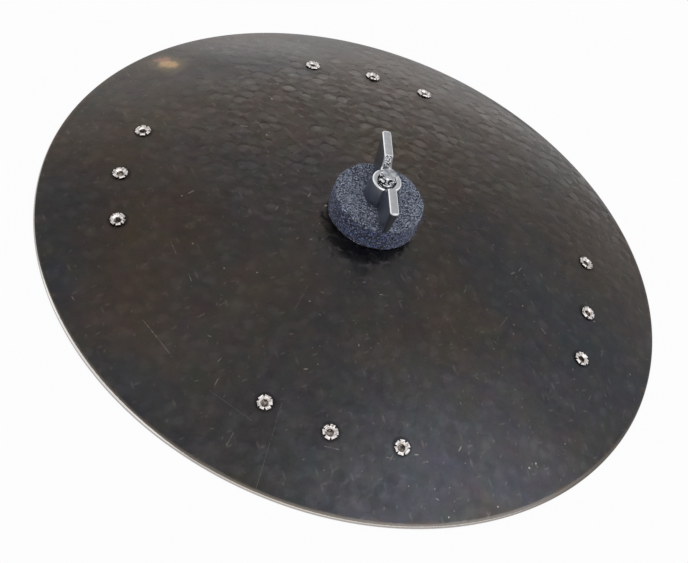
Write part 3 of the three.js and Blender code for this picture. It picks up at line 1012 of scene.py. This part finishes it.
def chromeFinish():
    nodes, ramp, blend, noise = newFinish("chromePlate")
    place = nodes.place()
    x, y, z = nodes.axes(place)
    bearing = radians(nut["wingAngle"])
    along = x * cos(bearing) + y * sin(bearing)
    aside = y * cos(bearing) - x * sin(bearing)
    along, aside = along.larger(0 - along), aside.larger(0 - aside)
    haze = noise(place, 500, 4, 0.6)
    pits = noise(place, 1500, 2, 0.6)
    wingTop = nutCrown + nut["wingRise"]
    onWing = ramp(along, nut["top"], nut["top"] + 0.6 * mm)
    # painted highlights: the edges round the tops of the wings and the boss are near white; the inner slope
    # of each wing is dull with pits
    wingEdgeHighlight = ramp(aside, 1.3 * mm, 1.9 * mm) * ramp(z, wingTop - 1.2 * mm, wingTop - 0.4 * mm)
    bossEdgeHighlight = ramp((x * x + y * y) ** 0.5, nut["top"] - 1.0 * mm, nut["top"] - 0.3 * mm)
    bossEdgeHighlight = bossEdgeHighlight * ramp(z, nutCrown - 1.0 * mm, nutCrown - 0.5 * mm) * (1 - onWing)
    slope = onWing * ramp(along, nut["innerReach"], nut["innerReach"] - 0.5 * mm)
    slope = slope * ramp(aside, 1.7 * mm, 1.3 * mm) * ramp(z, nutCrown - 1 * mm, nutCrown)
    # painted shade: below those edges the sides of the wings and the boss are darker, and also rougher
    dullShadedSides = ramp(z, wingTop - 0.6 * mm, wingTop - 2.0 * mm) * (1 - bossEdgeHighlight)
    dullShadedSides = dullShadedSides * ramp(z, nutCrown - 0.1 * mm, nutCrown - 0.5 * mm).larger(onWing * (1 - slope))
    colour = blend(ramp(haze, 0.4, 0.8), (0.56, 0.57, 0.59, 1), (0.48, 0.49, 0.51, 1))
    colour = blend(dullShadedSides, colour, (0.26, 0.275, 0.315, 1))
    colour = blend(slope * ramp(pits, 0.58, 0.46), colour, (0.05, 0.05, 0.055, 1))
    colour = blend(wingEdgeHighlight.larger(bossEdgeHighlight), colour, (0.92, 0.93, 0.95, 1))
    return nodes.surface({
        "Base Color": colour,
        "Metallic": 1.0,
        "Roughness": 0.16 + (haze - 0.5) * 0.1 + dullShadedSides * 0.14,
        "Normal": nodes.bump(noise(place, 160, 2, 0.5) * 0.3 + pits * slope, 0.15, 0.1 * mm),
    })


wingNut = bossPiece()
for angle in (nut["wingAngle"], nut["wingAngle"] + 180):
    combine(wingNut, wingPiece(angle), "UNION")
sharpen(wingNut, nut["hardEdge"])
dress(wingNut, chromeFinish(), "wing_nut", "wing_nut")
print("wing nut:", len(wingNut.data.polygons), "faces")


# Post, sleeve and washer

post = lengths(
    shank=4.0, threadDepth=0.6, pitch=1.25, threadLength=26, endChamfer=0.7, flats=17, footHeight=14,
    socket=4.0, socketDepth=11, socketMouth=0.5, footChamfer=1.0,
) | {
    "shankRows": 330,
    "footRows": 12,
    "columns": 96,
    "hardEdge": 35,
}
sleeve = lengths(inner=4.3, edge=0.25) | {"columns": 96, "hardEdge": 35}
washer = lengths(inner=5.8, edge=0.6) | {"columns": 160, "hardEdge": 35}


def postPiece():
    # the section runs from the top of the axis down the shank and foot, and up the socket; a ridge that
    # follows height and angle together cuts the thread, and the foot is held inside a hexagon
    low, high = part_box("centre_post")
    footTop = low.z + post["footHeight"]
    chamfer, shank, socket = post["footChamfer"], post["shank"], post["socket"]
    rows, footRows = post["shankRows"], post["footRows"]
    socketTop = low.z + post["socketDepth"]
    hexOut = post["flats"] / 2 / cos(pi / 6)
    section = np.vstack([
        [(0, high.z), (shank - post["endChamfer"], high.z)],
        np.c_[np.full(rows, shank), np.linspace(high.z - post["endChamfer"], footTop, rows)],
        [(hexOut - chamfer, footTop), (hexOut, footTop - chamfer * 0.6)],
        np.c_[np.full(footRows, hexOut), np.linspace(footTop - chamfer, low.z + chamfer, footRows)],
        [(hexOut, low.z + chamfer * 0.6), (hexOut - chamfer, low.z), (socket + post["socketMouth"], low.z)],
        [(socket, low.z + post["socketMouth"]), (socket, socketTop), (0, socketTop)],
    ])
    angle = evenAngles(post["columns"])
    reach, height = section[:, :1], section[:, 1:] + 0 * angle
    tooth = np.abs((height / post["pitch"] - angle / turn) % 1 - 0.5) * 2
    runOut = high.z - post["threadLength"]
    threaded = smoothStep(height, runOut, runOut + 1 * mm) * (reach == shank)
    radius = reach - post["threadDepth"] * tooth * threaded
    hexRadius = post["flats"] / 2 / np.cos((angle + pi / 6) % (pi / 3) - pi / 6)
    radius = np.where(reach > socket + 1 * mm, np.minimum(radius, hexRadius), radius)
    points = np.stack([radius * np.cos(angle), radius * np.sin(angle), height], axis=-1).reshape(-1, 3)
    piece = newPiece("centre_post_threaded", points, gridFaces(len(section), len(angle), closeRows=False))
    tidied(piece, weld=poleWeld)
    sharpen(piece, post["hardEdge"])
    return piece


def ringPiece(node, shape):
    # a plain ring with rounded outer corners, the size of its solid
    low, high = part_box(node)
    edge = shape["edge"]
    section = np.vstack([
        [(shape["inner"], low.z)],
        arc((high.x - edge, low.z + edge), edge, -90, 0, 6),
        arc((high.x - edge, high.z - edge), edge, 0, 90, 6),
        [(shape["inner"], high.z)],
    ])
    piece = wrappedPiece(node + "_round", turned(section, shape["columns"]))
    sharpen(piece, shape["hardEdge"])
    return piece


def steelFinish():
    nodes, ramp, blend, noise = newFinish("platedSteel")
    place = nodes.place()
    x, y, z = nodes.axes(place)
    bloom = noise(place, 180, 5, 0.6)
    grain = noise(nodes.stretched(place, (1, 1, 1 / 12), 0), 700, 3, 0.6)
    # painted shade in the thread's roots: how deep a point of the shank lies below the crests
    shade = ramp((x * x + y * y) ** 0.5, post["shank"] - 0.15 * mm, post["shank"] - 0.45 * mm)
    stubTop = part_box("centre_post")[1].z
    shade = shade * ramp(z, stubTop - 0.1 * mm, stubTop - 0.5 * mm)
    colour = blend(ramp(bloom, 0.35, 0.7), rgb(208, 211, 217), rgb(172, 175, 182))
    colour = blend(shade, colour, rgb(26, 26, 30))
    # painted glints and painted shade on the stub that stands in the nut: white and near-black patches, fewer
    # on its end
    stub = ramp(z, stubTop - 7 * mm, stubTop - 6 * mm)
    stub = stub * (1 - ramp(z, stubTop - 0.3 * mm, stubTop - 0.1 * mm) * 0.75)
    stubGlintAndShade = noise(place, 560, 2, 0.5)
    colour = blend(stub * ramp(stubGlintAndShade, 0.5, 0.45), colour, rgb(14, 14, 17))
    colour = blend(stub * ramp(stubGlintAndShade, 0.54, 0.58), colour, rgb(250, 250, 252))
    return nodes.surface({
        "Base Color": colour,
        "Metallic": 1.0,
        "Roughness": 0.2 + (bloom - 0.5) * 0.15,
        "Normal": nodes.bump(grain, 0.15, 0.05 * mm),
    })


def nylonFinish():
    nodes, ramp, blend, noise = newFinish("blackNylon")
    speck = noise(nodes.place(), 1200, 3, 0.6)
    return nodes.surface({
        "Base Color": blend(ramp(speck, 0.4, 0.7), rgb(26, 26, 28), rgb(40, 40, 42)),
        "Roughness": 0.45 + (speck - 0.5) * 0.2,
        "Normal": nodes.bump(speck, 0.1, 0.05 * mm),
    })


plated = steelFinish()
dress(postPiece(), plated, "post", "centre_post")
dress(ringPiece("support_washer", washer), plated, "post", "support_washer")
dress(ringPiece("post_sleeve", sleeve), nylonFinish(), "post", "post_sleeve")
print("post, sleeve and washer made")


# Floor and light

studio = {
    "floorHeight": -0.08 * mm,
    "floorHalf": 6.0,
    "floorGlow": (0.93, 0.93, 0.935, 1),
    "floorColour": (0.05, 0.05, 0.05, 1),
    "coveredFrom": 0.5 * mm,
    "coveredWhole": 3 * mm,
    "sweepStart": 0.42,
    "sweepEnd": 0.8,
    "sweepGlow": (1.6, 1.6, 1.6, 1),
    "sky": 0.62,
    "skyColour": (1.0, 1.0, 1.0, 1.0),
    "boxColour": (0.95, 0.98, 1.06, 1.0),
    # each lobe: azimuth from +Y towards +X, elevation, full out to, gone at, strength
    "lobes": ((-15, 15, 5, 40, 0.31), (-4, 0, 1, 9, 1.5), (8, -1, 1, 12, 0.45), (-42, 38, 4, 30, -0.14),
              (-22, 15, 3, 13, 0.3), (-36, 35, 3, 15, -0.10), (-52, 60, 5, 18, 0.10), (46, 37, 5, 20, 0.07),
              (-9, 8, 2, 10, 0.2), (21, 10, 3, 10, 0.1), (-30, 60, 5, 30, 0.08), (-70, 8, 10, 40, 0.47),
              (75, 5, 10, 40, 0.22), (180, 45, 15, 45, 0.8)),
    "box": (98, 55, 6, 32, 1.27),
}


def makeFloor():
    # a glowing floor, brighter far behind, with a painted shadow where the disc covers it
    half, height = studio["floorHalf"], studio["floorHeight"]
    corners = [(-half, -half, height), (half, -half, height), (half, half, height), (-half, half, height)]
    floor = newPiece("floor", np.array(corners), np.array([(0, 1, 2, 3)]))
    nodes, ramp, blend, _ = newFinish("paleFloor")
    x, y, z = nodes.axes(nodes.place())
    inward = discRadius - (x * x + y * y) ** 0.5
    sweep = ramp(y, studio["sweepStart"], studio["sweepEnd"])
    glow = blend(sweep, studio["floorGlow"], studio["sweepGlow"])
    paintedShadowUnderDisc = ramp(inward, studio["coveredFrom"], studio["coveredWhole"])
    glow = blend(paintedShadowUnderDisc, glow, (0, 0, 0, 1))
    floor.data.materials.append(nodes.surface({
        "Base Color": studio["floorColour"],
        "Roughness": 0.9,
        "Specular IOR Level": 0.0,
        "Emission Color": glow,
        "Emission Strength": 1.0,
    }))


def makeWorld():
    # a pale surround that is brighter or darker towards some directions, and one soft box of light
    world = bpy.data.worlds.new("studio")
    nodes = Nodes(world)
    heading = nodes.add("ShaderNodeTexCoord", output="Generated")

    def lobe(azimuth, elevation, full, gone):
        azimuth, elevation = radians(azimuth), radians(elevation)
        level = cos(elevation)
        axis = (sin(azimuth) * level, cos(azimuth) * level, sin(elevation))
        near = nodes.vector("DOT_PRODUCT", heading, axis, "Value")
        return nodes.ramp(near, cos(radians(gone)), cos(radians(full)))

    strength = studio["sky"]
    for *shape, amount in studio["lobes"]:
        strength = lobe(*shape) * amount + strength
    *shape, amount = studio["box"]
    glow = lobe(*shape)
    colour = nodes.blend(glow, studio["skyColour"], studio["boxColour"])
    light = nodes.add("ShaderNodeBackground", inputs={"Color": colour, "Strength": strength + glow * amount})
    nodes.add("ShaderNodeOutputWorld", inputs={"Surface": light})
    bpy.context.scene.world = world


makeFloor()
makeWorld()
bpy.context.scene.view_settings.view_transform = "Standard"
print("floor and light made")
